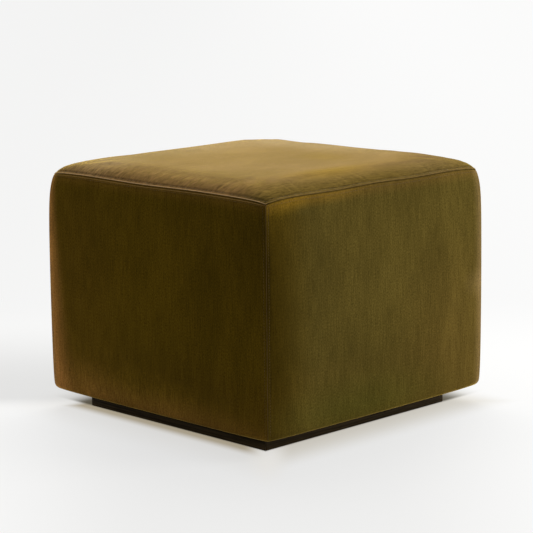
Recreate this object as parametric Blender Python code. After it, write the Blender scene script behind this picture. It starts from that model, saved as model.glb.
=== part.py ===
"""Cube pouf stool: one filled velvet cube on a set-back black plinth.

Metres, +Z up. The origin is on the floor under the middle of the plinth. The front faces -Y and the
right side faces +X. The cover is a top panel and four side panels, sewn edge to edge round the firm
filling with a row of topstitching on each side of every seam, so the pouf is one filled solid. It
stands on four mitred plinth boards.
"""

import math

import bmesh
import bpy
import mathutils

# ---- the filled pouf ----
WIDTH = 0.506           # along X, between the seams
DEPTH = 0.494           # along Y, between the seams
SEAM_HEIGHT = 0.396     # floor to the seam round the top
HALF_X = WIDTH / 2
HALF_Y = DEPTH / 2

CROWN = 0.018           # how far the filling lifts the middle of the top above the seam
CROWN_RISE = 0.022      # distance from the seam over which the top rises most
BACK_SINK = 0.005       # how much lower the top is at its back left corner
SIDE_BULGE = 0.0030     # how far the filling pushes out the middle of a side
BULGE_RISE = 0.030      # distance below the top seam over which a side swells
BULGE_POWER = 4         # how far along a side the swelling holds before it drops to the corner seam
BELLY = 0.0010          # how much the whole pouf swells half way down
BASE_ROUND = 0.011      # radius where the sides turn under

# ---- the corners, which the sewing draws in ----
TOP_PULL = 0.0072       # how far a top corner is drawn in, along X and along Y
TOP_FADE = 0.024        # distance below the top seam over which that eases off
FOOT_PULL = 0.0020      # the same for a bottom corner
FOOT_FADE = 0.018
TOP_DIP = 0.0058        # how far a top corner is drawn down
PULL_POWER = 12         # how close to the corner the drawing-in starts

# ---- the seams ----
SEAM_GROOVE = 0.0016    # depth of the groove where two panels meet
SEAM_WAVER = 0.0009     # how far the top seam strays up and down
TOP_SEAM_WAVES = {
    # side: (waves along half its length, phase)
    "front": (1.6, -0.9),
    "right": (2.5, 1.8),
    "back": (1.9, 0.6),
    "left": (2.2, -0.4),
}
STITCH_OFFSET = 0.0054  # seam to its row of topstitching

# Height of the cloth above the plain panel, going away from a seam: groove, roll, stitch row, flat.
SEAM_RELIEF = (
    # distance, height
    (0.0, -SEAM_GROOVE),
    (0.0014, 0.0002),
    (0.0032, 0.0005),
    (STITCH_OFFSET, -0.0009),
    (0.0078, 0.0),
)

# ---- the plinth ----
PLINTH_WIDTH = 0.413    # along X and along Y
PLINTH_HEIGHT = 0.027
PLINTH_BOARD = 0.018    # thickness of a board
BOARD_CHAMFER = 0.0008
GAP = 0.0003            # between pieces that touch

BASE_HEIGHT = PLINTH_HEIGHT + GAP
SIDE_HEIGHT = SEAM_HEIGHT - BASE_HEIGHT

# ---- mesh lines: close together at a seam, wide apart in the middle of a panel ----
SEAM_STEPS = [distance for distance, height in SEAM_RELIEF]
SEAM_STEPS += [0.012, 0.020, 0.032, 0.048, 0.070, 0.100, 0.140, 0.190]
SIDE_STEPS = [0.245, 0.300]     # the same, further down a side
TURN_STEPS = 5          # mesh steps round the turned-under edge
WELD = 0.00001          # points of two panels this close are one


def clear_scene():
    """Remove whatever the file opened with."""
    for thing in list(bpy.data.objects):
        bpy.data.objects.remove(thing, do_unlink=True)


def make_material(name, colour, roughness, metallic=0.0):
    """A Principled material in one colour."""
    material = bpy.data.materials.new(name)
    material.use_nodes = True
    shader = material.node_tree.nodes["Principled BSDF"]
    shader.inputs["Base Color"].default_value = (*colour, 1.0)
    shader.inputs["Roughness"].default_value = roughness
    shader.inputs["Metallic"].default_value = metallic
    return material


def add_object(name, mesh, material):
    """Put one mesh in the scene under its own name."""
    mesh.materials.append(material)
    thing = bpy.data.objects.new(name, mesh)
    bpy.context.scene.collection.objects.link(thing)
    return thing


# ---- the filled pouf ----


def rise(distance, length):
    """From 0 at a seam towards 1 well away from it."""
    return 1.0 - math.exp(-distance / length)


def corner_share(place, half):
    """From 0 along most of an edge to 1 at its ends."""
    return abs(place / half) ** PULL_POWER


def draw_in(drop):
    """How far the corner is drawn in at this distance below the top seam."""
    lift = SIDE_HEIGHT - drop
    return TOP_PULL * math.exp(-drop / TOP_FADE) + FOOT_PULL * math.exp(-lift / FOOT_FADE)


def sink(share_x, share_y, drop):
    """How far the back left of the top has settled, easing off down the sides."""
    corner = (1.0 - share_x) / 2 * (1.0 + share_y) / 2
    return BACK_SINK * corner * (1.0 - drop / SIDE_HEIGHT)


def waver(side, share):
    """How far the top seam strays upwards at this share of a side's half length; nothing at its ends."""
    cycles, phase = TOP_SEAM_WAVES[side]
    return SEAM_WAVER * (1.0 - share * share) * math.sin(math.pi * cycles * share + phase)


def top_point(place_x, place_y):
    """A point of the top panel, from its flat place in the panel."""
    share_x = place_x / HALF_X
    share_y = place_y / HALF_Y
    end_x = corner_share(place_x, HALF_X)
    end_y = corner_share(place_y, HALF_Y)
    from_x = HALF_X - abs(place_x)
    from_y = HALF_Y - abs(place_y)
    height = SEAM_HEIGHT + CROWN * rise(from_x, CROWN_RISE) * rise(from_y, CROWN_RISE)
    height -= TOP_DIP * end_x * end_y + sink(share_x, share_y, 0.0)
    for side, share, distance in (
        ("front", share_x, HALF_Y + place_y),
        ("right", share_y, HALF_X - place_x),
        ("back", -share_x, HALF_Y - place_y),
        ("left", -share_y, HALF_X + place_x),
    ):
        height += waver(side, share) * math.exp(-distance / CROWN_RISE)
    return (
        share_x * (HALF_X - draw_in(0.0) * end_y),
        share_y * (HALF_Y - draw_in(0.0) * end_x),
        height,
    )


def side_point(side, place, half_along, half_out, drop, inset):
    """A point of a side panel: how far along it, how far out, and how high."""
    share = place / half_along
    end = corner_share(place, half_along)
    pull = draw_in(drop)
    belly = BELLY * math.sin(math.pi * drop / SIDE_HEIGHT)
    bulge = SIDE_BULGE * rise(drop, BULGE_RISE) * (1.0 - abs(share) ** BULGE_POWER)
    ease = math.exp(-drop / TOP_FADE)
    along = share * (half_along + belly - pull - inset)
    out = half_out + belly + bulge - pull * end - inset
    height = SEAM_HEIGHT - drop + (waver(side, share) - TOP_DIP * end) * ease
    return along, out, height


def seam_relief(distance):
    """Height of the cloth above the plain panel at this distance from the nearest seam."""
    for (near, low), (far, high) in zip(SEAM_RELIEF, SEAM_RELIEF[1:]):
        if distance <= far:
            return low + (high - low) * (distance - near) / (far - near)
    return 0.0


def panel_lines(half):
    """Mesh lines across a panel, from one seam to the other."""
    first_half = [step - half for step in SEAM_STEPS]
    return first_half + [0.0] + [-place for place in reversed(first_half)]


def side_levels():
    """Mesh levels down a side, as (drop below the seam, inset), ending under the turned-in edge."""
    straight = SIDE_HEIGHT - BASE_ROUND
    levels = [(step, 0.0) for step in SEAM_STEPS + SIDE_STEPS]
    for step in range(TURN_STEPS + 1):
        turn = math.radians(90) * step / TURN_STEPS
        levels.append((straight + BASE_ROUND * math.sin(turn), BASE_ROUND * (1.0 - math.cos(turn))))
    return levels


def add_grid(shell, seam_layer, points, distances):
    """Add one panel as a grid of faces, each point knowing its distance to the nearest seam."""
    rows = []
    for point_row, distance_row in zip(points, distances):
        row = []
        for point, distance in zip(point_row, distance_row):
            vertex = shell.verts.new(point)
            vertex[seam_layer] = distance
            row.append(vertex)
        rows.append(row)
    for upper, lower in zip(rows, rows[1:]):
        for i in range(len(upper) - 1):
            shell.faces.new((upper[i], lower[i], lower[i + 1], upper[i + 1]))


def add_top_panel(shell, seam_layer):
    """The crowned top panel."""
    across = panel_lines(HALF_X)
    points = []
    distances = []
    for place_y in reversed(panel_lines(HALF_Y)):
        points.append([top_point(place_x, place_y) for place_x in across])
        distances.append([min(HALF_X - abs(place_x), HALF_Y - abs(place_y)) for place_x in across])
    add_grid(shell, seam_layer, points, distances)


def add_side_panel(shell, seam_layer, side, quarter_turns, half_along, half_out):
    """One side panel, made facing -Y and turned to its place."""
    turned = mathutils.Matrix.Rotation(math.radians(90) * quarter_turns, 3, "Z")
    places = panel_lines(half_along)
    levels = side_levels()
    points = []
    distances = []
    for drop, inset in levels:
        point_row = []
        distance_row = []
        # The relief of an upright seam runs out where the cloth turns under to the flat base.
        flattened = max(0.0, 1.0 - (SIDE_HEIGHT - drop) / BASE_ROUND)
        for place in places:
            along, out, height = side_point(side, place, half_along, half_out, drop, inset)
            point = turned @ mathutils.Vector((along, -out, height))
            corner = turned @ mathutils.Vector((place / half_along, -1.0, 0.0))
            point.z -= sink(corner.x, corner.y, drop)
            point_row.append(point)
            nearest = min(drop, half_along - abs(place))
            distance_row.append(nearest + flattened * SEAM_RELIEF[-1][0])
        points.append(point_row)
        distances.append(distance_row)
    add_grid(shell, seam_layer, points, distances)


def make_pouf_body(material):
    """The filled cover: five panels sewn edge to edge over the filling, as one closed solid."""
    shell = bmesh.new()
    seam_layer = shell.verts.layers.float.new("seam_distance")
    add_top_panel(shell, seam_layer)
    add_side_panel(shell, seam_layer, "front", 0, HALF_X, HALF_Y)
    add_side_panel(shell, seam_layer, "right", 1, HALF_Y, HALF_X)
    add_side_panel(shell, seam_layer, "back", 2, HALF_X, HALF_Y)
    add_side_panel(shell, seam_layer, "left", 3, HALF_Y, HALF_X)
    bmesh.ops.remove_doubles(shell, verts=shell.verts, dist=WELD)
    rim = [edge for edge in shell.edges if edge.is_boundary]
    bmesh.ops.contextual_create(shell, geom=rim)
    bmesh.ops.recalc_face_normals(shell, faces=shell.faces)
    shell.normal_update()
    moves = [(vertex, vertex.normal * seam_relief(vertex[seam_layer])) for vertex in shell.verts]
    for vertex, move in moves:
        vertex.co += move
    mesh = bpy.data.meshes.new("pouf_body")
    shell.to_mesh(mesh)
    shell.free()
    mesh.shade_smooth()
    mesh.set_sharp_from_angle(angle=math.radians(50))
    return add_object("pouf_body", mesh, material)


# ---- the plinth ----


def make_plinth_board(name, quarter_turns, material):
    """One mitred board of the plinth, made for the front and turned to its place."""
    outer = PLINTH_WIDTH / 2
    inner = outer - PLINTH_BOARD
    mitre = GAP / 2 * math.sqrt(2)
    plan = (
        (-outer + mitre, -outer),
        (outer - mitre, -outer),
        (inner - mitre, -inner),
        (-inner + mitre, -inner),
    )
    board = bmesh.new()
    floor = board.faces.new([board.verts.new((x, y, 0.0)) for x, y in plan])
    raised = bmesh.ops.extrude_face_region(board, geom=[floor])["geom"]
    top = [item for item in raised if isinstance(item, bmesh.types.BMVert)]
    bmesh.ops.translate(board, verts=top, vec=(0.0, 0.0, PLINTH_HEIGHT))
    bmesh.ops.bevel(board, geom=board.edges, offset=BOARD_CHAMFER, segments=1, affect="EDGES")
    bmesh.ops.recalc_face_normals(board, faces=board.faces)
    mesh = bpy.data.meshes.new(name)
    board.to_mesh(mesh)
    board.free()
    thing = add_object(name, mesh, material)
    thing.rotation_euler.z = math.radians(90) * quarter_turns
    return thing


clear_scene()
velvet = make_material("velvet", (0.16, 0.11, 0.025), 0.85)
make_pouf_body(velvet)
blackened_wood = make_material("blackened_wood", (0.012, 0.011, 0.010), 0.6)
for quarter_turns, side in enumerate(("front", "right", "back", "left")):
    make_plinth_board("plinth_" + side, quarter_turns, blackened_wood)
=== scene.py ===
import math

import bmesh
import bpy
import numpy as np
from mathutils import Matrix, Vector, kdtree


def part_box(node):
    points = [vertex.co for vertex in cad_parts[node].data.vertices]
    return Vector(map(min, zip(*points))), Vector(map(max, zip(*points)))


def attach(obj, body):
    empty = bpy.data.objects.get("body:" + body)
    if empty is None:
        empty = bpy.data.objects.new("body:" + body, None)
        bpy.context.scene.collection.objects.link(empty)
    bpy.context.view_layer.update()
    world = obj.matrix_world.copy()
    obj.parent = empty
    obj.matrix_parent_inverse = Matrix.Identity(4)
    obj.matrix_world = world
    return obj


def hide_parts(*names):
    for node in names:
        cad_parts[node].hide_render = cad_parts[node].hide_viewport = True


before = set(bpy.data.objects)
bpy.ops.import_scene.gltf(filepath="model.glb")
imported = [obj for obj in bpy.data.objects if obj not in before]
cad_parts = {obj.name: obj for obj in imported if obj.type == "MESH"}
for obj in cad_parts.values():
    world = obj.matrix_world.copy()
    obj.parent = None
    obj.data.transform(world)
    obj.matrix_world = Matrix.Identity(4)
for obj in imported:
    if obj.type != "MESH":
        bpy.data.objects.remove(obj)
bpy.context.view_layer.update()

# ---- Velvet cover: its shape ----
# The cover is one square of velvet on top and four side pieces, sewn edge to edge and pulled over a
# firm filling that crowns the top and swells the sides. The corner seams draw the corners in and down.
body_low, body_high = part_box("pouf_body")
SIDE_SWELL = 0.0040             # how far the middle of a side stands out past the seams
SIDE_HEIGHT = 0.3687            # top edge to foot
SEAM_ROLL = 0.0022              # how far the top's rolled edge stands above its seam
ROLL_RISE = 0.005               # distance from the seam over which it does
half_x = body_high.x - SIDE_SWELL
half_y = body_high.y - SIDE_SWELL
foot_height = body_low.z
seam_height = foot_height + SIDE_HEIGHT - SEAM_ROLL

CROWN = 0.0172                  # how far the filling lifts the middle of the top above its rolled edge
CROWN_RISE = 0.019              # distance from the seam over which the top rises most
CROWN_FULLNESS = 1.2            # how well the filling fills the top's corners
ROLL_FULLNESS = 4.0             # and how well their rolled edge is filled
BACK_SINK = 0.004               # how much lower the top is at its back left corner
SIDE_BULGE = 0.0030             # how far the filling pushes out the middle of a side
BULGE_RISE = 0.030              # distance below the top seam over which a side swells
BULGE_POWER = 4                 # how far along a side the swelling holds
BELLY = 0.0010                  # how much the whole pouf swells half way down
FOOT_RADIUS = 0.011             # radius where the sides turn under
TOP_PULL = 0.0072               # how far a top corner is drawn in
TOP_FADE = 0.024                # distance below the top seam over which that eases off
FOOT_PULL = 0.0020
FOOT_FADE = 0.018
TOP_DIP = 0.0058                # how far a top corner is drawn down
PULL_POWER = 12                 # how close to the corner the drawing-in starts
CORNER_DRIFTS = (
    # corner, the way its seam strays from upright, how far at its top and at its foot, and how long
    # it keeps on the line of its foot
    ((1, -1), (1, 1), 0.0017, 0.0, 1.0),
    ((-1, -1), (-1, -1), -0.0004, 0.0019, 0.5),
    ((1, 1), (1, 1), 0.0022, 0.0, 8.0),
)
DRIFT_REACH = 0.05
SEAM_WAVER = 0.0009             # how far the top seam strays up and down
SEAM_WAVES = {                  # waves along half a side, and their phase
    "front": (1.6, -0.9),
    "right": (2.5, 1.8),
    "back": (1.9, 0.6),
    "left": (2.2, -0.4),
}
SIDES = ("front", "right", "back", "left")


def rise(distance, length):
    """From 0 at a seam towards 1 well away from it."""
    return 1.0 - np.exp(-distance / length)


def draw_in(drop):
    """How far the corner is drawn in at this distance below the top seam."""
    lift = SIDE_HEIGHT - drop
    return TOP_PULL * np.exp(-drop / TOP_FADE) + FOOT_PULL * np.exp(-lift / FOOT_FADE)


def sink(share_x, share_y, drop):
    """How far the back left of the top has settled, easing off down the sides."""
    corner = (1.0 - share_x) / 2 * (1.0 + share_y) / 2
    return BACK_SINK * corner * (1.0 - drop / SIDE_HEIGHT)


def waver(side, share):
    """How far the top seam strays upwards along a side."""
    cycles, phase = SEAM_WAVES[side]
    return SEAM_WAVER * (1.0 - share * share) * np.sin(math.pi * cycles * share + phase)


def drift(places):
    """Moves the cloth near a corner along with its straying seam."""
    lift = np.clip((places[..., 2] - foot_height) / SIDE_HEIGHT, 0.0, 1.0)
    moved = places.copy()
    for corner, way, at_top, at_foot, power in CORNER_DRIFTS:
        away = np.hypot(places[..., 0] - corner[0] * half_x, places[..., 1] - corner[1] * half_y)
        move = at_foot + (at_top - at_foot) * lift ** power
        move = move * np.exp(-away / DRIFT_REACH) / math.sqrt(2)
        moved[..., 0] += move * way[0]
        moved[..., 1] += move * way[1]
    return moved


def filled(from_x, from_y, length, fullness):
    """How far the filling fills the top out, from 0 at its seams towards 1 in its middle."""
    rise_x, rise_y = rise(from_x, length), rise(from_y, length)
    return rise_x * rise_y * (1.0 + fullness * (1.0 - rise_x) * (1.0 - rise_y))


def top_surface(place_x, place_y):
    """The smooth top panel over its flat cut."""
    share_x = place_x / half_x
    share_y = place_y / half_y
    end_x = np.abs(share_x) ** PULL_POWER
    end_y = np.abs(share_y) ** PULL_POWER
    height = seam_height - TOP_DIP * end_x * end_y - sink(share_x, share_y, 0.0)
    from_x = half_x - np.abs(place_x)
    from_y = half_y - np.abs(place_y)
    height = height + SEAM_ROLL * filled(from_x, from_y, ROLL_RISE, ROLL_FULLNESS)
    height = height + CROWN * filled(from_x, from_y, CROWN_RISE, CROWN_FULLNESS)
    for side, share, distance in (
        ("front", share_x, half_y + place_y),
        ("right", share_y, half_x - place_x),
        ("back", -share_x, half_y - place_y),
        ("left", -share_y, half_x + place_x),
    ):
        height = height + waver(side, share) * np.exp(-distance / CROWN_RISE)
    x = share_x * (half_x - draw_in(0.0) * end_y)
    y = share_y * (half_y - draw_in(0.0) * end_x)
    return drift(np.stack([x, y, height], -1))


def side_surface(side, place, drop, inset):
    """A smooth side panel: made facing -Y, then turned to its place."""
    turns = SIDES.index(side)
    half_along, half_out = (half_x, half_y) if turns % 2 == 0 else (half_y, half_x)
    share = place / half_along
    end = np.abs(share) ** PULL_POWER
    pull = draw_in(drop)
    belly = BELLY * np.sin(math.pi * np.minimum(drop, SIDE_HEIGHT) / SIDE_HEIGHT)
    bulge = SIDE_BULGE * rise(drop, BULGE_RISE) * (1.0 - np.abs(share) ** BULGE_POWER)
    along = share * (half_along + belly - pull - inset)
    out = half_out + belly + bulge - pull * end - inset
    length = SIDE_HEIGHT - SEAM_ROLL
    height = seam_height - drop * length / SIDE_HEIGHT
    height = height + (waver(side, share) - TOP_DIP * end) * np.exp(-drop / TOP_FADE)
    cos_turn = (1, 0, -1, 0)[turns]
    sin_turn = (0, 1, 0, -1)[turns]
    corner_x = share * cos_turn + sin_turn
    corner_y = share * sin_turn - cos_turn
    height = height - sink(corner_x, corner_y, np.minimum(drop, SIDE_HEIGHT))
    x = along * cos_turn + out * sin_turn
    y = along * sin_turn - out * cos_turn
    return drift(np.stack([x, y, height], -1))


# ---- Velvet cover: its cut ----
# Each piece of velvet is a grid of cloth, closer by its seams. The side pieces run on round the foot
# and under, where they are turned in; a sixth, plain piece closes the underside.
SEAM_LINES = np.array([0.0, 0.003, 0.006, 0.010, 0.016])
CLOTH_STEP = 0.0075             # spacing of the cloth away from the seams
TURN_STEPS = 4
TURNED_IN = 0.010               # how far the side pieces run on under the foot
HELD_WIDTH = 0.001              # how near a seam or the foot the cloth is held
UNDERSIDE_LINES = 25


def lines_between_seams(half):
    """Lines across a panel from one seam to the other."""
    inner = half - SEAM_LINES[-1]
    count = round(2 * inner / CLOTH_STEP)
    middle = np.linspace(-inner, inner, count + 1)[1:-1]
    return np.concatenate([SEAM_LINES - half, middle, (half - SEAM_LINES)[::-1]])


def lines_down_a_side():
    """Lines down a side: the drop below the top seam, the inset, and the length of cloth."""
    straight = SIDE_HEIGHT - FOOT_RADIUS
    count = round((straight - SEAM_LINES[-1]) / CLOTH_STEP)
    drops = list(SEAM_LINES) + list(np.linspace(SEAM_LINES[-1], straight, count + 1)[1:])
    insets = [0.0] * len(drops)
    lengths = list(drops)
    for step in range(1, TURN_STEPS + 1):
        turn = math.pi / 2 * step / TURN_STEPS
        drops.append(straight + FOOT_RADIUS * math.sin(turn))
        insets.append(FOOT_RADIUS * (1.0 - math.cos(turn)))
        lengths.append(straight + FOOT_RADIUS * turn)
    for share in (0.5, 1.0):
        drops.append(SIDE_HEIGHT)
        insets.append(FOOT_RADIUS + TURNED_IN * share)
        lengths.append(lengths[-1] + TURNED_IN / 2)
    return np.array(drops), np.array(insets), np.array(lengths)


def grid_faces(rows, columns):
    """Faces of a grid, which face outwards when rows run down and columns run right."""
    index = np.arange(rows * columns).reshape(rows, columns)
    quads = np.stack([index[1:, :-1], index[1:, 1:], index[:-1, 1:], index[:-1, :-1]], -1)
    return quads.reshape(-1, 4)


# The crown is steep by the seams, so the top's cloth is longer there than its plan.
crown_slope = CROWN / CROWN_RISE
edge_slope = crown_slope + SEAM_ROLL / ROLL_RISE
crown_slack = (math.hypot(1.0, crown_slope) - 1.0) * CROWN_RISE / 2
roll_slack = (math.hypot(1.0, edge_slope) - math.hypot(1.0, crown_slope)) * ROLL_RISE / 2
cut_x, cut_y = (half + crown_slack + roll_slack for half in (half_x, half_y))
half_sides = dict(zip(SIDES, (half_x, half_y) * 2))     # half the length of each side


def cloth_run(place, half):
    """The length of cloth from the middle of the top to this place in its plan."""
    from_edge = half - np.abs(place)
    slack = crown_slack * np.exp(-2.0 * from_edge / CROWN_RISE)
    slack = slack + roll_slack * np.exp(-2.0 * from_edge / ROLL_RISE)
    return np.sign(place) * (np.abs(place) + slack)


def bowed(share):
    """How far an edge of the underside bows out at this share of its half length."""
    share = np.abs(share)
    return SIDE_BULGE * (1.0 - share ** BULGE_POWER) + FOOT_PULL * (1.0 - share ** PULL_POWER)


panels = {}
across, up = np.meshgrid(lines_between_seams(half_x), lines_between_seams(half_y)[::-1])
panels["top"] = {
    "places": top_surface(across, up).reshape(-1, 3),
    "flat": np.stack([cloth_run(across, half_x), cloth_run(up, half_y)], -1).reshape(-1, 2),
    "faces": grid_faces(*across.shape),
    "held": (np.abs(across) > half_x - HELD_WIDTH) | (np.abs(up) > half_y - HELD_WIDTH),
}
for side, half_along in half_sides.items():
    drops, insets, lengths = lines_down_a_side()
    along, drop = np.meshgrid(lines_between_seams(half_along), drops)
    inset = np.repeat(insets[:, None], along.shape[1], 1)
    length = np.repeat(lengths[:, None], along.shape[1], 1)
    panels[side] = {
        "places": side_surface(side, along, drop, inset).reshape(-1, 3),
        "flat": np.stack([along, -length], -1).reshape(-1, 2),
        "faces": grid_faces(*along.shape),
        "held": (np.abs(along) > half_along - HELD_WIDTH) | (drop < HELD_WIDTH)
        | (drop > SIDE_HEIGHT - FOOT_RADIUS - HELD_WIDTH),
    }
hem_x = half_x - FOOT_PULL - FOOT_RADIUS - TURNED_IN
hem_y = half_y - FOOT_PULL - FOOT_RADIUS - TURNED_IN
shares = np.linspace(-1.0, 1.0, UNDERSIDE_LINES)
share_x, share_y = np.meshgrid(shares, shares)
across, up = share_x * (hem_x + bowed(share_y)), share_y * (hem_y + bowed(share_x))
panels["underside"] = {
    "places": np.stack([across, up, np.full_like(across, foot_height)], -1).reshape(-1, 3),
    "flat": np.stack([across, -up], -1).reshape(-1, 2),
    "faces": grid_faces(*across.shape),
    "held": np.ones_like(across, dtype=bool),
}

# ---- Velvet cover: how it settles ----
# The seams and the foot are held where the maker sewed and fixed them. Between them the filling
# presses the velvet out, and it settles like any stretched cloth.
CLOTH_PRESSURE = 1.5
CLOTH_FRAMES = 20
CLOTH_CAP = 0.0013              # the filling is firm, so no point moves further than this


def add_object(name, data):
    """An object in the scene."""
    made = bpy.data.objects.new(name, data)
    bpy.context.scene.collection.objects.link(made)
    return made


def plain_mesh(made):
    """An object's mesh with its modifiers applied. The object itself is taken away."""
    depsgraph = bpy.context.evaluated_depsgraph_get()
    mesh = bpy.data.meshes.new_from_object(made.evaluated_get(depsgraph))
    bpy.data.objects.remove(made)
    return mesh


def read_vectors(mesh, collection, key):
    """The vectors of a mesh's points as an array."""
    values = np.empty(len(mesh.vertices) * 3)
    getattr(mesh, collection).foreach_get(key, values)
    return values.reshape(-1, 3)
def settle(sewn):
    """Runs the cloth and returns how far each point of each panel moves."""
    starts = np.cumsum([0] + [len(panel["places"]) for panel in sewn])
    places = np.concatenate([panel["places"] for panel in sewn])
    faces = np.concatenate([panel["faces"] + start for panel, start in zip(sewn, starts)])
    held = np.concatenate([panel["held"].ravel() for panel in sewn])
    mesh = bpy.data.meshes.new("settling")
    mesh.from_pydata(places.tolist(), [], faces.tolist())
    cloth_object = add_object("settling", mesh)
    group = cloth_object.vertex_groups.new(name="held")
    group.add(np.flatnonzero(held).tolist(), 1.0, "REPLACE")
    cloth = cloth_object.modifiers.new("cloth", "CLOTH")
    cloth.settings.quality = 6
    cloth.settings.mass = 0.3
    cloth.settings.tension_stiffness = 40.0
    cloth.settings.compression_stiffness = 40.0
    cloth.settings.shear_stiffness = 20.0
    cloth.settings.bending_stiffness = 2.0
    cloth.settings.use_pressure = True
    cloth.settings.uniform_pressure_force = CLOTH_PRESSURE
    cloth.settings.vertex_group_mass = "held"
    cloth.settings.effector_weights.gravity = 0.0
    cloth.point_cache.frame_start = 1
    cloth.point_cache.frame_end = CLOTH_FRAMES
    for number in range(1, CLOTH_FRAMES + 1):
        bpy.context.scene.frame_set(number)
    settled = plain_mesh(cloth_object)
    moves = read_vectors(settled, "vertices", "co") - places
    bpy.data.meshes.remove(settled)
    bpy.context.scene.frame_set(1)
    return [moves[start:end] for start, end in zip(starts, starts[1:])]


order = ("top",) + SIDES
for name, moves in zip(order, settle([panels[name] for name in order])):
    distance = np.linalg.norm(moves, axis=1)
    capped = CLOTH_CAP * np.tanh(distance / CLOTH_CAP)
    panels[name]["places"] += moves * (capped / np.maximum(distance, 1e-9))[:, None]

# ---- Velvet cover: its seams, wear and painted light ----
# Beside each seam the two layers of velvet roll over the seam allowance, then dip again where the
# topstitching holds them down. Gathers run from the seams into the cloth, use has worn the pile, and
# sheen, highlights and shade are painted into the pile's colour.
STITCH_OFFSET = 0.0054          # seam to its row of topstitching
GROOVE_WIDTH = 0.0009
ROLL_PLACE = 0.0019             # seam to the top of the roll beside it
ROLL_WIDTH = 0.0009
CHANNEL_WIDTH = 0.0011
SHOULDER_HEIGHT = 0.0002
SHOULDER_PLACE = 0.0088
SHOULDER_WIDTH = 0.0024
GATHER_PITCH = 0.015            # a gather about this often along a seam
GATHER_START = 0.004            # distance past the stitches over which it deepens
GATHER_WIDTHS = (0.0026, 0.0050)
UNEVEN_WAVES = 7
UNEVEN_LENGTHS = (0.09, 0.30)   # the shortest and the longest wave
UNEVEN_MEAN = 0.2               # and about their mean
UNEVEN_START = 0.035            # distance from a seam over which the cloth grows uneven
SAME_PLACE = 0.00005            # points of two panels this near are one place on their seam
SMOOTHING = 2                   # rounds of subdivision
random = np.random.default_rng(11)


def ridge(distance, place, width):
    """A soft ridge along a line: 1 at its place, falling off to both sides."""
    return np.exp(-((distance - place) / width) ** 2)


def seam_relief(distance, groove_depth, roll_height, channel_depth):
    """Height of the cloth beside a seam: groove, roll, stitched channel and a slight shoulder."""
    return (
        -groove_depth * ridge(distance, 0.0, GROOVE_WIDTH)
        + roll_height * ridge(distance, ROLL_PLACE, ROLL_WIDTH)
        - channel_depth * ridge(distance, STITCH_OFFSET, CHANNEL_WIDTH)
        + SHOULDER_HEIGHT * ridge(distance, SHOULDER_PLACE, SHOULDER_WIDTH)
    )


def gathers(along, distance, length, count, depth, reach):
    """Short gathers square to a seam, each with its own place, width, depth and length."""
    height = np.zeros_like(along)
    start = rise(np.maximum(distance - STITCH_OFFSET, 0.0), GATHER_START)
    for number in range(count):
        place = (number + random.uniform(0.1, 0.9)) / count * length - length / 2
        width = random.uniform(*GATHER_WIDTHS)
        lean = random.uniform(-0.25, 0.25)
        deep = depth * random.uniform(0.2, 1.0)
        far = reach * random.uniform(0.5, 1.2)
        offset = (along - place - lean * distance) / width
        height -= deep * np.exp(-(offset ** 2) - (distance / far) ** 2) * start
    return height


def unevenness(flat, amount):
    """Slow rises and dips where the filling lies a little unevenly."""
    height = np.zeros(len(flat))
    for number in range(UNEVEN_WAVES):
        turn = random.uniform(0.0, math.pi)
        wavelength = random.uniform(*UNEVEN_LENGTHS)
        phase = random.uniform(0.0, 2 * math.pi)
        run = flat[:, 0] * math.cos(turn) + flat[:, 1] * math.sin(turn)
        height += np.sin(run * 2 * math.pi / wavelength + phase) * wavelength
    return height * amount / (UNEVEN_MEAN * math.sqrt(UNEVEN_WAVES / 2))


def corner_points(mesh):
    """The point at each face corner of a mesh."""
    points = np.empty(len(mesh.loops), dtype=np.int32)
    mesh.loops.foreach_get("vertex_index", points)
    return points


for name, panel in panels.items():
    mesh = bpy.data.meshes.new(name)
    mesh.from_pydata(panel["places"].tolist(), [], panel["faces"].tolist())
    flat_map = mesh.uv_layers.new(name="flat")
    flat_map.data.foreach_set("uv", panel["flat"][corner_points(mesh)].astype(np.float32).ravel())
    rough = add_object(name, mesh)
    smoother = rough.modifiers.new("smooth", "SUBSURF")
    smoother.levels = SMOOTHING
    smoother.boundary_smooth = "PRESERVE_CORNERS"
    smoother.uv_smooth = "NONE"
    smooth = plain_mesh(rough)
    corner_flat = np.empty(len(smooth.loops) * 2, dtype=np.float32)
    smooth.uv_layers[0].data.foreach_get("uv", corner_flat)
    flat = np.zeros((len(smooth.vertices), 2))
    flat[corner_points(smooth)] = corner_flat.reshape(-1, 2)
    panel["mesh"] = smooth
    panel["flat"] = flat
    panel["places"] = read_vectors(smooth, "vertices", "co")
    panel["normals"] = read_vectors(smooth, "vertex_normals", "vector")
    cloth_edges = bmesh.new()
    cloth_edges.from_mesh(smooth)
    panel["rim"] = np.array([vertex.index for vertex in cloth_edges.verts if vertex.is_boundary])
    cloth_edges.free()

# Where panels meet, the seam's own direction is halfway between theirs, so both move together.
rim_places = np.concatenate([panel["places"][panel["rim"]] for panel in panels.values()])
rim_normals = np.concatenate([panel["normals"][panel["rim"]] for panel in panels.values()])
nearby = kdtree.KDTree(len(rim_places))
for number, place in enumerate(rim_places):
    nearby.insert(place, number)
nearby.balance()
shared = np.array([
    rim_normals[[hit[1] for hit in nearby.find_range(place, SAME_PLACE)]].sum(0) for place in rim_places
])
shared /= np.linalg.norm(shared, axis=1)[:, None]
taken = 0
for panel in panels.values():
    panel["normals"][panel["rim"]] = shared[taken:taken + len(panel["rim"])]
    taken += len(panel["rim"])
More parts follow.
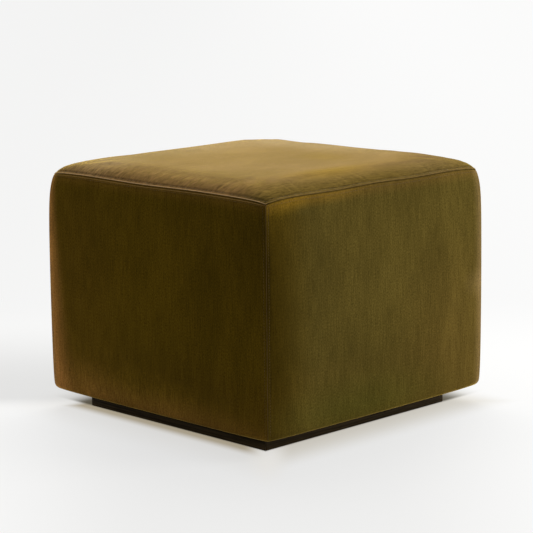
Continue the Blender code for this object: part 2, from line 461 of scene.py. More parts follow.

# For each seam of a panel, a top's from the front round to the left, a side's the top one and then its
# right and left corners: depth of the groove, height of the roll, depth of the stitched channel, how
# far the roll has worn pale with a painted highlight, how far from the seam that is, and how dark the
# groove's painted shade is.
PLAIN_SIDE = (
    (0.0013, 0.0003, 0.0004, 0.10, 0.0030, 0.25),
    (0.0006, 0.0003, 0.0004, 0.10, 0.0002, 0.0),
    (0.0006, 0.0003, 0.0004, 0.10, 0.0002, 0.0),
)
SEAM_FORMS = {
    "top": (
        (0.0013, 0.0008, 0.0003, 1.00, 0.0015, 0.05),
        (0.0013, 0.0008, 0.0005, 0.13, 0.0016, 0.28),
        (0.0013, 0.0008, 0.0006, 0.45, 0.0016, 0.20),
        (0.0013, 0.0008, 0.0006, 0.65, 0.0016, 0.20),
    ),
    "front": (
        (0.0010, 0.0003, 0.0003, 0.20, 0.0027, 0.20),
        (0.0006, 0.0003, 0.0004, 0.0, 0.0002, 0.50),
        (0.0006, 0.0003, 0.0004, 0.14, 0.0002, 0.0),
    ),
    "right": (
        (0.0013, 0.0003, 0.0004, 0.01, 0.0030, 0.42),
        (0.0006, 0.0003, 0.0004, 0.10, 0.0002, 0.0),
        (0.0006, 0.0003, 0.0004, 0.20, 0.0002, 0.0),
    ),
    "back": PLAIN_SIDE,
    "left": PLAIN_SIDE,
    "underside": ((0.0, 0.0, 0.0, 0.0, 0.0, 0.0),),
}
# At the corners the pile is rubbed and scuffed, and painted lighter as a sheen along the corner edges.
CORNER_WEAR_AND_LIGHT = {
    # for each side: state, at its first or last corner, share, and its reach at the top and the foot
    "front": (("rubbed", "first", 1.25, 0.018, 0.076), ("scuffed", "first", 0.50, 0.006, 0.014)),
    "right": (("scuffed", "last", 0.55, 0.024, 0.024),),
    "back": (("scuffed", "first", 0.40, 0.024, 0.027), ("rubbed", "last", 0.30, 0.020, 0.050)),
    "left": (("rubbed", "first", 0.30, 0.020, 0.050), ("rubbed", "last", 0.80, 0.017, 0.066)),
}
RUBBED_AND_LIT_EDGES = {
    # share rubbed bare and painted lighter along a side's foot and its top edge
    "front": (0.057, 0.124),
    "right": (0.034, 0.124),
    "back": (0.090, 0.090),
    "left": (0.090, 0.090),
}
# How far each panel's pile is brushed, which also paints light from the right onto the right side.
BRUSHED_AND_LIT_SHARES = {"top": 0.8, "front": 0.0, "right": 1.0, "back": 0.4, "left": 0.3, "underside": 0.0}
BRUSHED_AND_LIT_FROM = 0.110            # nearer than this to its first corner a side is brushed less and lies in painted shade, and this share as much at the corner itself
FIRST_BRUSHED_AND_LIT = 0.1             # and this share as much at the corner itself
LEVEL_SHEEN = 0.40               # the top has a pale painted sheen where it is level, which is this far from its front and its right seam
LEVEL_FROM = (0.090, 0.130)     # which is this far from its front and its right seam
LESS_FADED_AND_LIT = 0.80                  # it is less faded and less lit by this share along its right seam: painted shade on its slope
LESS_FADED_AND_LIT_TO = 0.090
COMBED_TO = (0.090, 0.080)      # its front and right slopes are combed as far as this
LESS_COMBED = 0.6               # and less near its right seam
LESS_COMBED_TO = 0.120
COARSE_FROM = (0.120, 0.100)    # past its slopes the pile lies coarser
FOOT_RUBS_AND_LIGHT = (0.130, 0.028)      # how far up from the foot a side is rubbed and painted lighter, twice over and how far down from its top seam
TOP_RUB_AND_LIGHT = 0.024                 # and how far down from its top seam
FOLD_SCUFF_AND_LIGHT = 0.55               # share scuffed and painted lighter along the fold under the foot
FOLD_PLACE = 0.0012
FOLD_WIDTH = 0.0024
SEAM_BLEND = 0.0015             # near a corner two seams' forms blend over this distance
GATHERS = {"top": (0.0007, 0.030), "side": (0.0004, 0.022), "underside": (0.0, 0.030)}
SWELLS = {"top": 0.0003, "side": 0.0006, "underside": 0.0}
CREASE_DEPTH = 0.0005           # a crease pulled into the top from its right seam
CREASE_WIDTH = 0.0032
CREASE_PLACE = (0.240, -0.166)  # one place on its line
CREASE_SLANT = 0.3
CREASE_GAP = 0.006              # it starts this far from the seam, and deepens over as much
CREASE_END = 0.085
DIMPLE_DEPTH = 0.0008           # where the top's front corner is drawn down
DIMPLE_PLACE = (0.226, -0.218)
DIMPLE_REACH = 0.008
# Pale marks are painted highlights, golden marks painted sheen and painted light from the floor, and
# marks of painted shade darken the pile.
MARKS = {
    # panel: state, middle of the mark on the flat cloth, its reach both ways, strength
    "top": (
        ("golden", (0.196, -0.050), (0.040, 0.130), 0.50),
        ("golden", (0.080, 0.060), (0.080, 0.060), 0.25),
        ("pale", (-0.220, 0.000), (0.180, 0.300), 0.50),
        ("pale", (-0.160, -0.190), (0.110, 0.080), 0.35),
        ("pale", (-0.060, 0.200), (0.260, 0.140), 0.60),
        ("pale", (-0.100, 0.200), (0.190, 0.088), 0.50),
        ("pale", (0.230, 0.150), (0.060, 0.120), 0.08),
        ("sheltered", (0.060, -0.195), (0.260, 0.055), 0.30),
    ),
    "right": (
        ("golden", (-0.212, -0.004), (0.070, 0.028), 0.90),
        ("golden", (-0.130, 0.000), (0.150, 0.024), 0.55),
        ("sheltered", (-0.262, -0.200), (0.110, 0.340), 0.80),
        ("sheltered", (-0.262, -0.110), (0.040, 0.130), 0.60),
        ("brushed", (-0.100, -0.012), (0.150, 0.024), 0.80),
        ("mossy", (-0.050, -0.360), (0.300, 0.090), 0.9),
        ("rubbed", (0.180, -0.260), (0.200, 0.220), 0.057),
        ("scuffed", (0.250, -0.190), (0.060, 0.034), 0.18),
    ),
    "front": (
        ("rubbed", (-0.170, -0.350), (0.150, 0.060), 0.23),
        ("rubbed", (-0.220, -0.180), (0.220, 0.280), 0.05),
        ("golden", (-0.020, -0.375), (0.330, 0.090), 1.10),
        ("golden", (-0.060, -0.290), (0.280, 0.150), 0.22),
        ("rubbed", (0.000, -0.375), (0.330, 0.060), 0.42),
        ("combed", (-0.080, -0.340), (0.320, 0.100), 0.42),
        ("sheltered", (0.262, -0.050), (0.280, 0.130), 0.25),
        ("sheltered", (0.262, -0.120), (0.240, 0.240), 0.25),
    ),
}
STATES = (
    # each becomes an attribute of the panels, which the velvet reads
    "brushed", "rubbed", "faded", "pale", "golden", "sheltered", "mossy", "scuffed", "coarse", "combed"
)


def fade_out(distance, reach):
    """From 1 at no distance smoothly to 0 at this reach."""
    share = np.clip(distance / reach, 0.0, 1.0)
    return 1.0 - share * share * (3.0 - 2.0 * share)


for name, panel in panels.items():
    flat = panel["flat"]
    run_x, run_y = flat.T
    pile_states = {state: np.zeros(len(flat)) for state in STATES}
    pile_states["brushed"] += BRUSHED_AND_LIT_SHARES[name]
    kind = name if name in ("top", "underside") else "side"
    # Each seam is the place along it, the distance from it, and its length.
    if kind == "top":
        to_front, to_right = cut_y + run_y, cut_x - run_x
        edges = [
            (run_x, to_front, 2 * cut_x),
            (run_y, to_right, 2 * cut_y),
            (-run_x, cut_y - run_y, 2 * cut_x),
            (-run_y, cut_x + run_x, 2 * cut_y),
        ]
        # The level middle of the top has a painted sheen.
        level = (1.0 - fade_out(to_front, LEVEL_FROM[0])) * (1.0 - fade_out(to_right, LEVEL_FROM[1]))
        pile_states["pale"] += LEVEL_SHEEN * level
        # Less faded and less lit along the right seam: painted shade on the slope.
        pile_states["faded"] += 1.0 - LESS_FADED_AND_LIT * fade_out(to_right, LESS_FADED_AND_LIT_TO)
        pile_states["combed"] += fade_out(to_front, COMBED_TO[0]) + fade_out(to_right, COMBED_TO[1])
        pile_states["combed"] *= 1.0 - LESS_COMBED * fade_out(to_right, LESS_COMBED_TO)
        pile_states["coarse"] += 1.0 - fade_out(to_front, COARSE_FROM[0])
        pile_states["coarse"] *= 1.0 - fade_out(to_right, COARSE_FROM[1])
    elif kind == "underside":
        to_hem = np.minimum(hem_x - np.abs(run_x), hem_y - np.abs(run_y))
        edges = [(run_x, to_hem, 2 * hem_x)]
    else:
        half_along = half_sides[name]
        from_start, from_end, drop = half_along + run_x, half_along - run_x, -run_y
        edges = [
            (run_x, drop, 2 * half_along),
            (drop - SIDE_HEIGHT / 2, from_end, SIDE_HEIGHT),
            (drop - SIDE_HEIGHT / 2, from_start, SIDE_HEIGHT),
        ]
        # Near its first corner a side is brushed and lit less: painted shade.
        pile_states["brushed"] *= 1.0 - (1.0 - FIRST_BRUSHED_AND_LIT) * fade_out(from_start, BRUSHED_AND_LIT_FROM)
        for state, corner, share, reach_at_top, reach_at_foot in CORNER_WEAR_AND_LIGHT[name]:
            reach = reach_at_top + (reach_at_foot - reach_at_top) * drop / SIDE_HEIGHT
            from_corner = from_start if corner == "first" else from_end
            pile_states[state] += share * np.clip(1.0 - from_corner / reach, 0.0, 1.0) ** 2
        # Along the foot and the top edge the pile is rubbed and painted lighter.
        at_foot, at_top = RUBBED_AND_LIT_EDGES[name]
        for reach in FOOT_RUBS_AND_LIGHT:
            pile_states["rubbed"] += at_foot * fade_out(SIDE_HEIGHT - drop, reach)
        pile_states["rubbed"] += at_top * fade_out(drop, TOP_RUB_AND_LIGHT)
        # Scuffed pile and a painted light line along the fold under the foot.
        pile_states["scuffed"] += FOLD_SCUFF_AND_LIGHT * ridge(drop, SIDE_HEIGHT + FOLD_PLACE, FOLD_WIDTH)
    for state, middle, reach, strength in MARKS.get(name, ()):
        away = np.hypot(*((flat - middle) / reach).T)
        pile_states[state] += strength * fade_out(away, 1.0)

    distances = np.stack([edge[1] for edge in edges])
    nearest = distances.min(0)
    weights = np.exp(-(distances - nearest) / SEAM_BLEND)
    forms = weights.T @ np.array(SEAM_FORMS[name]) / weights.sum(0)[:, None]
    height = seam_relief(nearest, *forms.T[:3])
    for along, distance, length in edges:
        height += gathers(along, distance, length, round(length / GATHER_PITCH), *GATHERS[kind])
    height += unevenness(flat, SWELLS[kind]) * rise(np.maximum(nearest, 0.0), UNEVEN_START)
    if kind == "top":
        past_crease = run_y - CREASE_PLACE[1] - CREASE_SLANT * (CREASE_PLACE[0] - run_x)
        from_right = half_x - run_x
        crease = CREASE_DEPTH * ridge(past_crease, 0.0, CREASE_WIDTH)
        crease *= rise(np.maximum(from_right - CREASE_GAP, 0.0), CREASE_GAP)
        height -= crease * fade_out(from_right, CREASE_END)
        height -= DIMPLE_DEPTH * np.exp(-(((flat - DIMPLE_PLACE) / DIMPLE_REACH) ** 2).sum(1))
    elif kind == "side":
        # The turned-under foot is pressed flat.
        turned = np.clip((drop - SIDE_HEIGHT + FOOT_RADIUS) / FOOT_RADIUS, 0.0, 1.0)
        height *= 1.0 - turned
    panel["values"] = {state: np.clip(values, 0.0, 1.0) for state, values in pile_states.items()}
    panel["values"]["from_seam"] = nearest
    panel["values"].update(zip(("worn_roll", "worn_at", "shadowed"), forms.T[3:]))
    panel["places"] = panel["places"] + panel["normals"] * height[:, None]

# ---- Velvet cover: its velvet ----
# Short-pile cotton velvet, dyed olive. The pile has a fine upright rib, leans unevenly where hands
# and knees have brushed it, and has rubbed paler along the rolled seams. Sheen, highlights and shade
# are painted into its colour as well.
RIB_PITCH = 0.0022
PICK_PITCH = 0.0014             # the weft's own spacing
RIB_WANDER = 0.006
OLIVE = (0.0660, 0.0395, 0.0032, 1.0)
# Worn pile on the rolled seams, with a painted highlight.
WORN_ROLL_AND_HIGHLIGHT = (0.520, 0.330, 0.1550, 1.0)
# Painted shade in the seams' grooves.
GROOVE_SHADE = (0.012, 0.006, 0.001, 1.0)
# The colour each state mixes in. Brushed, faded, rubbed and scuffed pile is partly real and partly
# painted light; pale and golden are a painted highlight and painted sheen; mossy is the pile's own
# tone.
STATE_COLOURS = {
    "brushed": (0.073, 0.0520, 0.0105, 1.0),
    "faded": (0.105, 0.0580, 0.0210, 1.0),
    "pale": (0.200, 0.1450, 0.0880, 1.0),
    "golden": (0.150, 0.0900, 0.0080, 1.0),
    "mossy": (0.064, 0.0570, 0.0090, 1.0),
    "rubbed": (0.300, 0.1370, 0.0340, 1.0),
    "scuffed": (0.300, 0.2000, 0.0850, 1.0),
}


def new_group(name, kind, inputs, outputs):
    """A node group with named sockets, each given as its name and kind, and their ends inside it."""
    group = bpy.data.node_groups.new(name, kind)
    for way, sockets in (("INPUT", inputs), ("OUTPUT", outputs)):
        for label, socket_kind in sockets:
            group.interface.new_socket(label, in_out=way, socket_type="NodeSocket" + socket_kind)
    return group, group.nodes.new("NodeGroupInput").outputs, group.nodes.new("NodeGroupOutput").inputs


def new_material(name, finish):
    """A material, its node tree and its Principled shader, with the finish set on the shader."""
    material = bpy.data.materials.new(name)
    material.use_nodes = True
    shader = material.node_tree.nodes["Principled BSDF"]
    for label, value in finish.items():
        shader.inputs[label].default_value = value
    return material, material.node_tree, shader


def add_node(tree, kind, settings=None, values=None):
    """One node with its settings and its input values or links. Gives the node's outputs."""
    node = tree.nodes.new(kind)
    for key, value in (settings or {}).items():
        setattr(node, key, value)
    for key, value in (values or {}).items():
        if isinstance(value, bpy.types.NodeSocket):
            tree.links.new(value, node.inputs[key])
        else:
            node.inputs[key].default_value = value
    return node.outputs


def calculate(tree, operation, *values):
    """A Math node's output."""
    return add_node(tree, "ShaderNodeMath", {"operation": operation}, dict(enumerate(values)))[0]


def times(tree, first, *factors):
    """A value multiplied by others."""
    for factor in factors:
        first = calculate(tree, "MULTIPLY", first, factor)
    return first


def combine(tree, operation, *vectors):
    """A Vector Math node's output."""
    outputs = add_node(tree, "ShaderNodeVectorMath", {"operation": operation}, dict(enumerate(vectors)))
    return outputs["Value" if operation == "DOT_PRODUCT" else "Vector"]


def remap(tree, value, from_low, from_high, to_low=0.0, to_high=1.0):
    """A smooth Map Range's output."""
    values = {
        "Value": value,
        "From Min": from_low,
        "From Max": from_high,
        "To Min": to_low,
        "To Max": to_high,
    }
    settings = {"interpolation_type": "SMOOTHSTEP"}
    return add_node(tree, "ShaderNodeMapRange", settings, values)["Result"]


def mix_colour(tree, factor, first, second, blend="MIX"):
    """A colour Mix node's output."""
    settings = {"data_type": "RGBA", "blend_type": blend}
    return add_node(tree, "ShaderNodeMix", settings, {0: factor, 6: first, 7: second})[2]


def darken(tree, colour, tone):
    """A colour multiplied by a tone."""
    grey = add_node(tree, "ShaderNodeCombineColor", None, {0: tone, 1: tone, 2: tone})[0]
    return mix_colour(tree, 1.0, colour, grey, "MULTIPLY")


def noise(tree, vector, factors, detail, roughness, distortion):
    """A Noise texture's value, with the pattern's fineness each way."""
    values = {
        "Vector": combine(tree, "MULTIPLY", vector, factors),
        "Scale": 1.0,
        "Detail": detail,
        "Roughness": roughness,
        "Distortion": distortion,
    }
    return add_node(tree, "ShaderNodeTexNoise", None, values)[0]


def read_value(tree, name, output="Fac"):
    """What a piece's own attribute says."""
    return add_node(tree, "ShaderNodeAttribute", {"attribute_name": name})[output]


def raise_relief(tree, shader, height, distance, strength):
    """Fine relief on a shader's normal."""
    values = {"Height": height, "Distance": distance, "Strength": strength}
    normal = add_node(tree, "ShaderNodeBump", None, values)["Normal"]
    tree.links.new(normal, shader.inputs["Normal"])


ribbed_pile, source, result = new_group(
    "Ribbed pile",
    "ShaderNodeTree",
    [("Flat Cloth", "Vector"), ("Rib Pitch", "Float"), ("Coarse", "Float"), ("Combed", "Float")],
    [("Shade", "Float"), ("Height", "Float")],
)
tree = ribbed_pile
flat_cloth = source["Flat Cloth"]
parts = add_node(tree, "ShaderNodeSeparateXYZ", None, {0: flat_cloth})
wander = noise(tree, flat_cloth, (60.0, 9.0, 1.0), 1.0, 0.5, 0.0)
wandered = calculate(tree, "MULTIPLY_ADD", wander, RIB_WANDER, parts[0])
turns = calculate(tree, "DIVIDE", wandered, source["Rib Pitch"])
rib = calculate(tree, "SINE", times(tree, turns, 2 * math.pi))
picks = calculate(tree, "SINE", times(tree, parts[1], 2 * math.pi / PICK_PITCH))
streaks = noise(tree, flat_cloth, (480.0, 26.0, 1.0), 2.0, 0.6, 0.0)
broken = noise(tree, flat_cloth, (620.0, 330.0, 1.0), 2.0, 0.6, 0.0)
shade = times(tree, streaks, 0.5)
for pattern, share in ((rib, 0.06), (broken, 0.9), (picks, 0.015)):
    shade = calculate(tree, "MULTIPLY_ADD", pattern, share, shade)
for label, factors, detail, roughness, distortion, strength in (
    ("Coarse", (230.0, 120.0, 1.0), 3.0, 0.7, 0.3, 0.7),
    ("Combed", (500.0, 62.0, 1.0), 2.0, 0.6, 0.15, 2.2),
):
    hairs = noise(tree, flat_cloth, factors, detail, roughness, distortion)
    hairs = times(tree, calculate(tree, "SUBTRACT", hairs, 0.5), strength)
    shade = calculate(tree, "MULTIPLY_ADD", hairs, source[label], shade)
tree.links.new(remap(tree, shade, 0.40, 1.00), result["Shade"])
height = calculate(tree, "MULTIPLY_ADD", rib, 0.25, streaks)
for pattern, share in ((picks, 0.08), (broken, 0.5)):
    height = calculate(tree, "MULTIPLY_ADD", pattern, share, height)
tree.links.new(height, result["Height"])

brushed_nap, source, result = new_group(
    "Brushed nap", "ShaderNodeTree", [("Flat Cloth", "Vector")], [("Lean", "Float")]
)
tree = brushed_nap
slow = noise(tree, source["Flat Cloth"], (9.0, 5.0, 1.0), 2.0, 0.5, 0.8)
strokes = noise(tree, source["Flat Cloth"], (55.0, 14.0, 1.0), 3.0, 0.6, 0.4)
lean = calculate(tree, "MULTIPLY_ADD", strokes, 0.5, slow)
tree.links.new(remap(tree, lean, 0.50, 1.0), result["Lean"])

velvet_finish = {
    "Roughness": 0.60,
    "IOR": 1.0,
    "Sheen Weight": 0.8,
    "Sheen Roughness": 0.25,
    "Sheen Tint": (1.0, 0.70, 0.12, 1.0),
}
velvet, tree, shader = new_material("velvet", velvet_finish)
flat_cloth = add_node(tree, "ShaderNodeUVMap", {"uv_map": "flat"})["UV"]
pile_values = {
    "Flat Cloth": flat_cloth,
    "Rib Pitch": RIB_PITCH,
    "Coarse": read_value(tree, "coarse"),
    "Combed": read_value(tree, "combed"),
}
pile = add_node(tree, "ShaderNodeGroup", {"node_tree": ribbed_pile}, pile_values)
nap = add_node(tree, "ShaderNodeGroup", {"node_tree": brushed_nap}, {"Flat Cloth": flat_cloth})
colour = OLIVE
for state, state_colour in STATE_COLOURS.items():
    colour = mix_colour(tree, read_value(tree, state), colour, state_colour)
tone = calculate(tree, "MULTIPLY_ADD", pile["Shade"], 0.80, 0.60)
leaning = calculate(tree, "MULTIPLY_ADD", nap["Lean"], 0.30, 0.85)
# Painted shade darkens the pile where it is out of the light.
open_to_light = calculate(tree, "MULTIPLY_ADD", read_value(tree, "sheltered"), -0.7, 1.0)
colour = darken(tree, colour, times(tree, tone, leaning, open_to_light))
from_seam = read_value(tree, "from_seam")
# Painted shade in the seam's groove.
in_groove = remap(tree, from_seam, 0.0006, 0.0018, 1.0, 0.0)
colour = mix_colour(tree, times(tree, in_groove, read_value(tree, "shadowed")), colour, GROOVE_SHADE)
# The rolled edge beside a seam: worn paler and painted with a highlight.
from_roll = calculate(tree, "SUBTRACT", from_seam, read_value(tree, "worn_at"))
on_roll = remap(tree, calculate(tree, "ABSOLUTE", from_roll), 0.0002, 0.0008, 1.0, 0.0)
colour = mix_colour(tree, times(tree, on_roll, read_value(tree, "worn_roll")), colour, WORN_ROLL_AND_HIGHLIGHT)
tree.links.new(colour, shader.inputs["Base Color"])
raise_relief(tree, shader, pile["Height"], 0.0004, 0.5)

# ---- Velvet cover: its panels ----
# Six cut pieces: top, front, right, back, left and underside. Each one's edge is turned in at the
# seams, so it is a closed form that meets its neighbours only along the seam line.
RIM_DEPTH = 0.006               # how far each panel's edge is turned in at the seam
RIM_LEAN = 0.001                # and how far towards the panel's middle


def close_panel(mesh, normals, middle):
    """Turns the edge of a panel in along the seam and closes its back."""
    shell = bmesh.new()
    shell.from_mesh(mesh)
    shell.verts.ensure_lookup_table()
    rim = [edge for edge in shell.edges if edge.is_boundary]
    for edge in rim:
        edge.smooth = False
    made = bmesh.ops.extrude_edge_only(shell, edges=rim)["geom"]
    turned_in = [item for item in made if isinstance(item, bmesh.types.BMVert)]
    back_edges = [item for item in made if isinstance(item, bmesh.types.BMEdge) and item.is_boundary]
    for vertex in turned_in:
        on_seam = [edge.other_vert(vertex) for edge in vertex.link_edges]
        on_seam = [other for other in on_seam if 0 <= other.index < len(normals)]
        normal = Vector(normals[on_seam[0].index])
        inwards = (middle - vertex.co).normalized()
        vertex.co += normal * -RIM_DEPTH + inwards * RIM_LEAN
    for edge in back_edges:
        edge.smooth = False
    bmesh.ops.contextual_create(shell, geom=back_edges)
    shell.to_mesh(mesh)
    shell.free()


for name, panel in panels.items():
    mesh = panel["mesh"]
    mesh.vertices.foreach_set("co", panel["places"].ravel())
    for label, values in panel["values"].items():
        attribute = mesh.attributes.new(label, "FLOAT", "POINT")
        attribute.data.foreach_set("value", values.astype(np.float32))
    mesh.shade_smooth()
    close_panel(mesh, panel["normals"], Vector(panel["places"].mean(0)))
    mesh.materials.clear()
    mesh.materials.append(velvet)
    piece = add_object(name + "_panel", mesh)
    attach(piece, "root")
    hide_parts("pouf_body")

# ---- Topstitching ----
# A row of waxed brown thread on each side of every seam, a stitch each 4.5 mm, pulled down into the
# velvet. It holds the seam allowance flat underneath.
STITCH_PITCH = 0.0045
STITCH_LENGTH = 0.0033
THREAD_WIDTH = 0.00055
THREAD_HEIGHT = 0.00045
THREAD_SINK = 0.00010           # how far the thread's middle lies under the cloth beside it
HALF_STEP = 0.0016              # a stitch lies along the cloth between two places this far from it
FEEL = 0.0008                   # size of the patch of cloth that a stitch lies on
NEAR_SEAM = 0.010               # only cloth this near a seam is looked at
SMALLEST = (0.90, 0.85, 0.85)   # a stitch's length, width and height vary between these shares
LARGEST = (1.08, 1.12, 1.12)
STITCH_SEED = 5
TWIST = (30.0, 24.0, 0.0)       # how the plies turn round and along the thread
DARK_STRAND = (0.048, 0.026, 0.007, 1.0)
LIGHT_STRAND = (0.120, 0.068, 0.021, 1.0)
low_u, high_u = STITCH_OFFSET - cut_x, cut_x - STITCH_OFFSET
low_v, high_v = STITCH_OFFSET - cut_y, cut_y - STITCH_OFFSET
rows = [
    ("top", (low_u, low_v), (high_u, low_v)),
    ("top", (high_u, low_v), (high_u, high_v)),
    ("top", (high_u, high_v), (low_u, high_v)),
    ("top", (low_u, high_v), (low_u, low_v)),
]
for side, half_along in half_sides.items():
    low_u, high_u = STITCH_OFFSET - half_along, half_along - STITCH_OFFSET
    low_v, high_v = FOOT_RADIUS - SIDE_HEIGHT, -STITCH_OFFSET
    rows += [
        (side, (low_u, high_v), (high_u, high_v)),
        (side, (low_u, high_v), (low_u, low_v)),
        (side, (high_u, high_v), (high_u, low_v)),
    ]
stitch_places = []
stitch_along = []
stitch_lift = []
for name, start, end in rows:
    panel = panels[name]
    near_seam = np.flatnonzero(panel["values"]["from_seam"] < NEAR_SEAM)
    run = np.array(end) - np.array(start)
    length = np.linalg.norm(run)
    count = round(length / STITCH_PITCH)
    middles = np.array(start) + run * (np.arange(count)[:, None] + 0.5) / count
    felt = []
    for step in (-HALF_STEP, HALF_STEP, 0.0):
        wanted = middles + run / length * step
        gap = wanted[:, None, :] - panel["flat"][near_seam][None, :, :]
        weight = np.exp(-(gap ** 2).sum(-1) / FEEL ** 2)
        weight /= weight.sum(1)[:, None]
        felt.append(weight @ panel["places"][near_seam])
    before, after, here = felt
    normals = weight @ panel["normals"][near_seam]
    normals /= np.linalg.norm(normals, axis=1)[:, None]
    stitch_places.append(here - normals * THREAD_SINK)
    stitch_along.append(after - before)
    stitch_lift.append(normals)

thread, tree, shader = new_material("brown_thread", {"Roughness": 0.55, "Specular IOR Level": 0.3})
twist = combine(tree, "DOT_PRODUCT", read_value(tree, "ply", "Vector"), TWIST)
strand = calculate(tree, "MULTIPLY_ADD", calculate(tree, "SINE", twist), 0.5, 0.5)
tree.links.new(mix_colour(tree, strand, DARK_STRAND, LIGHT_STRAND), shader.inputs["Base Color"])
raise_relief(tree, shader, strand, 0.0001, 0.6)

stitching, source, result = new_group(
    "Topstitching",
    "GeometryNodeTree",
    [
        ("Geometry", "Geometry"),
        ("Stitch Length", "Float"),
        ("Thread Width", "Float"),
        ("Thread Height", "Float"),
        ("Thread", "Material"),
    ],
    [("Geometry", "Geometry")],
)
tree = stitching
bead = add_node(tree, "GeometryNodeMeshUVSphere", None, {"Segments": 8, "Rings": 6, "Radius": 0.5})
keep_ply = add_node(
    tree,
    "GeometryNodeStoreNamedAttribute",
    {"data_type": "FLOAT2", "domain": "CORNER"},
    {"Geometry": bead["Mesh"], "Name": "ply", "Value": bead["UV Map"]},
)
quarter_turn = {"Geometry": keep_ply[0], "Rotation": (0.0, math.pi / 2, 0.0)}
lying = add_node(tree, "GeometryNodeTransform", None, quarter_turn)
along, lift = (
    add_node(tree, "GeometryNodeInputNamedAttribute", {"data_type": "FLOAT_VECTOR"}, {"Name": label})[0]
    for label in ("along", "lift")
)
turned_along = add_node(tree, "FunctionNodeAlignRotationToVector", {"axis": "X"}, {"Vector": along})
turned_up = add_node(
    tree,
    "FunctionNodeAlignRotationToVector",
    {"axis": "Z", "pivot_axis": "X"},
    {"Rotation": turned_along[0], "Vector": lift},
)
thread_sizes = {
    "X": source["Stitch Length"],
    "Y": source["Thread Width"],
    "Z": source["Thread Height"],
}
stitch_size = add_node(tree, "ShaderNodeCombineXYZ", None, thread_sizes)[0]
vary = add_node(
    tree,
    "FunctionNodeRandomValue",
    {"data_type": "FLOAT_VECTOR"},
    {0: SMALLEST, 1: LARGEST, "Seed": STITCH_SEED},
)
placed = add_node(
    tree,
    "GeometryNodeInstanceOnPoints",
    None,
    {
        "Points": source["Geometry"],
        "Instance": lying[0],
        "Rotation": turned_up[0],
        "Scale": combine(tree, "MULTIPLY", stitch_size, vary[0]),
    },
)
realised = add_node(tree, "GeometryNodeRealizeInstances", None, {"Geometry": placed[0]})
rounded = add_node(tree, "GeometryNodeSetShadeSmooth", None, {"Geometry": realised[0]})
colouring = {"Geometry": rounded[0], "Material": source["Thread"]}
dyed = add_node(tree, "GeometryNodeSetMaterial", None, colouring)
tree.links.new(dyed[0], result["Geometry"])

point_mesh = bpy.data.meshes.new("stitch_points")
point_mesh.from_pydata(np.concatenate(stitch_places).tolist(), [], [])
for label, vectors in (("along", stitch_along), ("lift", stitch_lift)):
    attribute = point_mesh.attributes.new(label, "FLOAT_VECTOR", "POINT")
    attribute.data.foreach_set("vector", np.concatenate(vectors).astype(np.float32).ravel())
points = add_object("stitch_points", point_mesh)
sewing = points.modifiers.new("sewing", "NODES")
sewing.node_group = stitching
sizes = {
    "Stitch Length": STITCH_LENGTH,
    "Thread Width": THREAD_WIDTH,
    "Thread Height": THREAD_HEIGHT,
    "Thread": thread,
}
for item in stitching.interface.items_tree:
    if item.in_out == "INPUT" and item.name in sizes:
        sewing[item.identifier] = sizes[item.name]
topstitching = add_object("topstitching", plain_mesh(points))
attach(topstitching, "root")
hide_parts("pouf_body")

# ---- Plinth ----
# Four boards, mitred at the corners, stained black and left matt, with the long grain just showing.
# They stand on the floor, set back under the pouf.
DARK_GRAIN = (0.0090, 0.0058, 0.0022, 1.0)
LIGHT_GRAIN = (0.024, 0.0160, 0.0070, 1.0)
PAINTED_SHADE_HEIGHT = 0.026            # how far up a board the colour goes from painted light by the floor to painted shade under the pouf


def black_wood(name, long_axis):
    """Black-stained wood with its grain along X (0) or Y (1)."""
    wood, tree, shader = new_material(name, {"Specular IOR Level": 0.10})
    place = add_node(tree, "ShaderNodeTexCoord")["Object"]
    grain_size = [420.0, 420.0, 420.0]
    grain_size[long_axis] = 9.0
    grain = noise(tree, place, grain_size, 4.0, 0.6, 0.3)
    pore_size = [1500.0, 1500.0, 1500.0]
    pore_size[long_axis] = 90.0
    pores = noise(tree, place, pore_size, 2.0, 0.5, 0.0)
    colour = mix_colour(tree, remap(tree, grain, 0.35, 0.70), DARK_GRAIN, LIGHT_GRAIN)
    # Painted light from the floor makes the boards browner near it, and painted shade darkens them
    # higher up under the pouf.
    above_floor = add_node(tree, "ShaderNodeSeparateXYZ", None, {0: place})[2]
    colour = darken(tree, colour, remap(tree, above_floor, 0.0, PAINTED_SHADE_HEIGHT, 4.6, 0.2))
    tree.links.new(colour, shader.inputs["Base Color"])
    tree.links.new(remap(tree, pores, 0.3, 0.7, 0.50, 0.68), shader.inputs["Roughness"])
    raise_relief(tree, shader, calculate(tree, "MULTIPLY_ADD", pores, 0.5, grain), 0.0003, 0.5)
    return wood


for long_axis, names in enumerate((("plinth_front", "plinth_back"), ("plinth_left", "plinth_right"))):
    wood = black_wood("blackened_wood_" + "xy"[long_axis], long_axis)
    for name in names:
        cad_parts[name].material_slots[0].material = wood

# ---- Floor ----
# A plain pale studio floor that runs out to white. It is mostly seen as evenly lit paper, near the pouf
# with the pouf's weak shadow, and shade under the overhang that takes some colour from the velvet.
PAPER = (1.0, 1.0, 0.995, 1.0)
FAR_LEFT = 0.905                # light seen far off at the left and right
FAR_RIGHT = 0.965
NEAR_MIDDLE = 0.83              # and near the pouf
NEAR_ENDS = 0.90
NEAR_SHARE = 0.88               # how much of it is seen as paper there
OWN_SHADOW = 0.19
SHADE_LEFT = (0.53, 0.46, 0.34, 1.0)
SHADE_RIGHT = (0.78, 0.745, 0.67, 1.0)
SHADE_CORNER = (0.99, 0.97, 0.93, 1.0)
SHADE_DEEP = (0.12, 0.105, 0.07, 1.0)
BACKWARDS = (-0.715, 0.699, 0.0)        # along the floor, away from the camera
SIDEWAYS = (0.699, 0.715, 0.0)          # and to its right
PLINTH_EDGE = (0.2052, 0.2062)          # the paper starts here, at the plinth's outer faces
floor_mesh = bpy.data.meshes.new("floor")
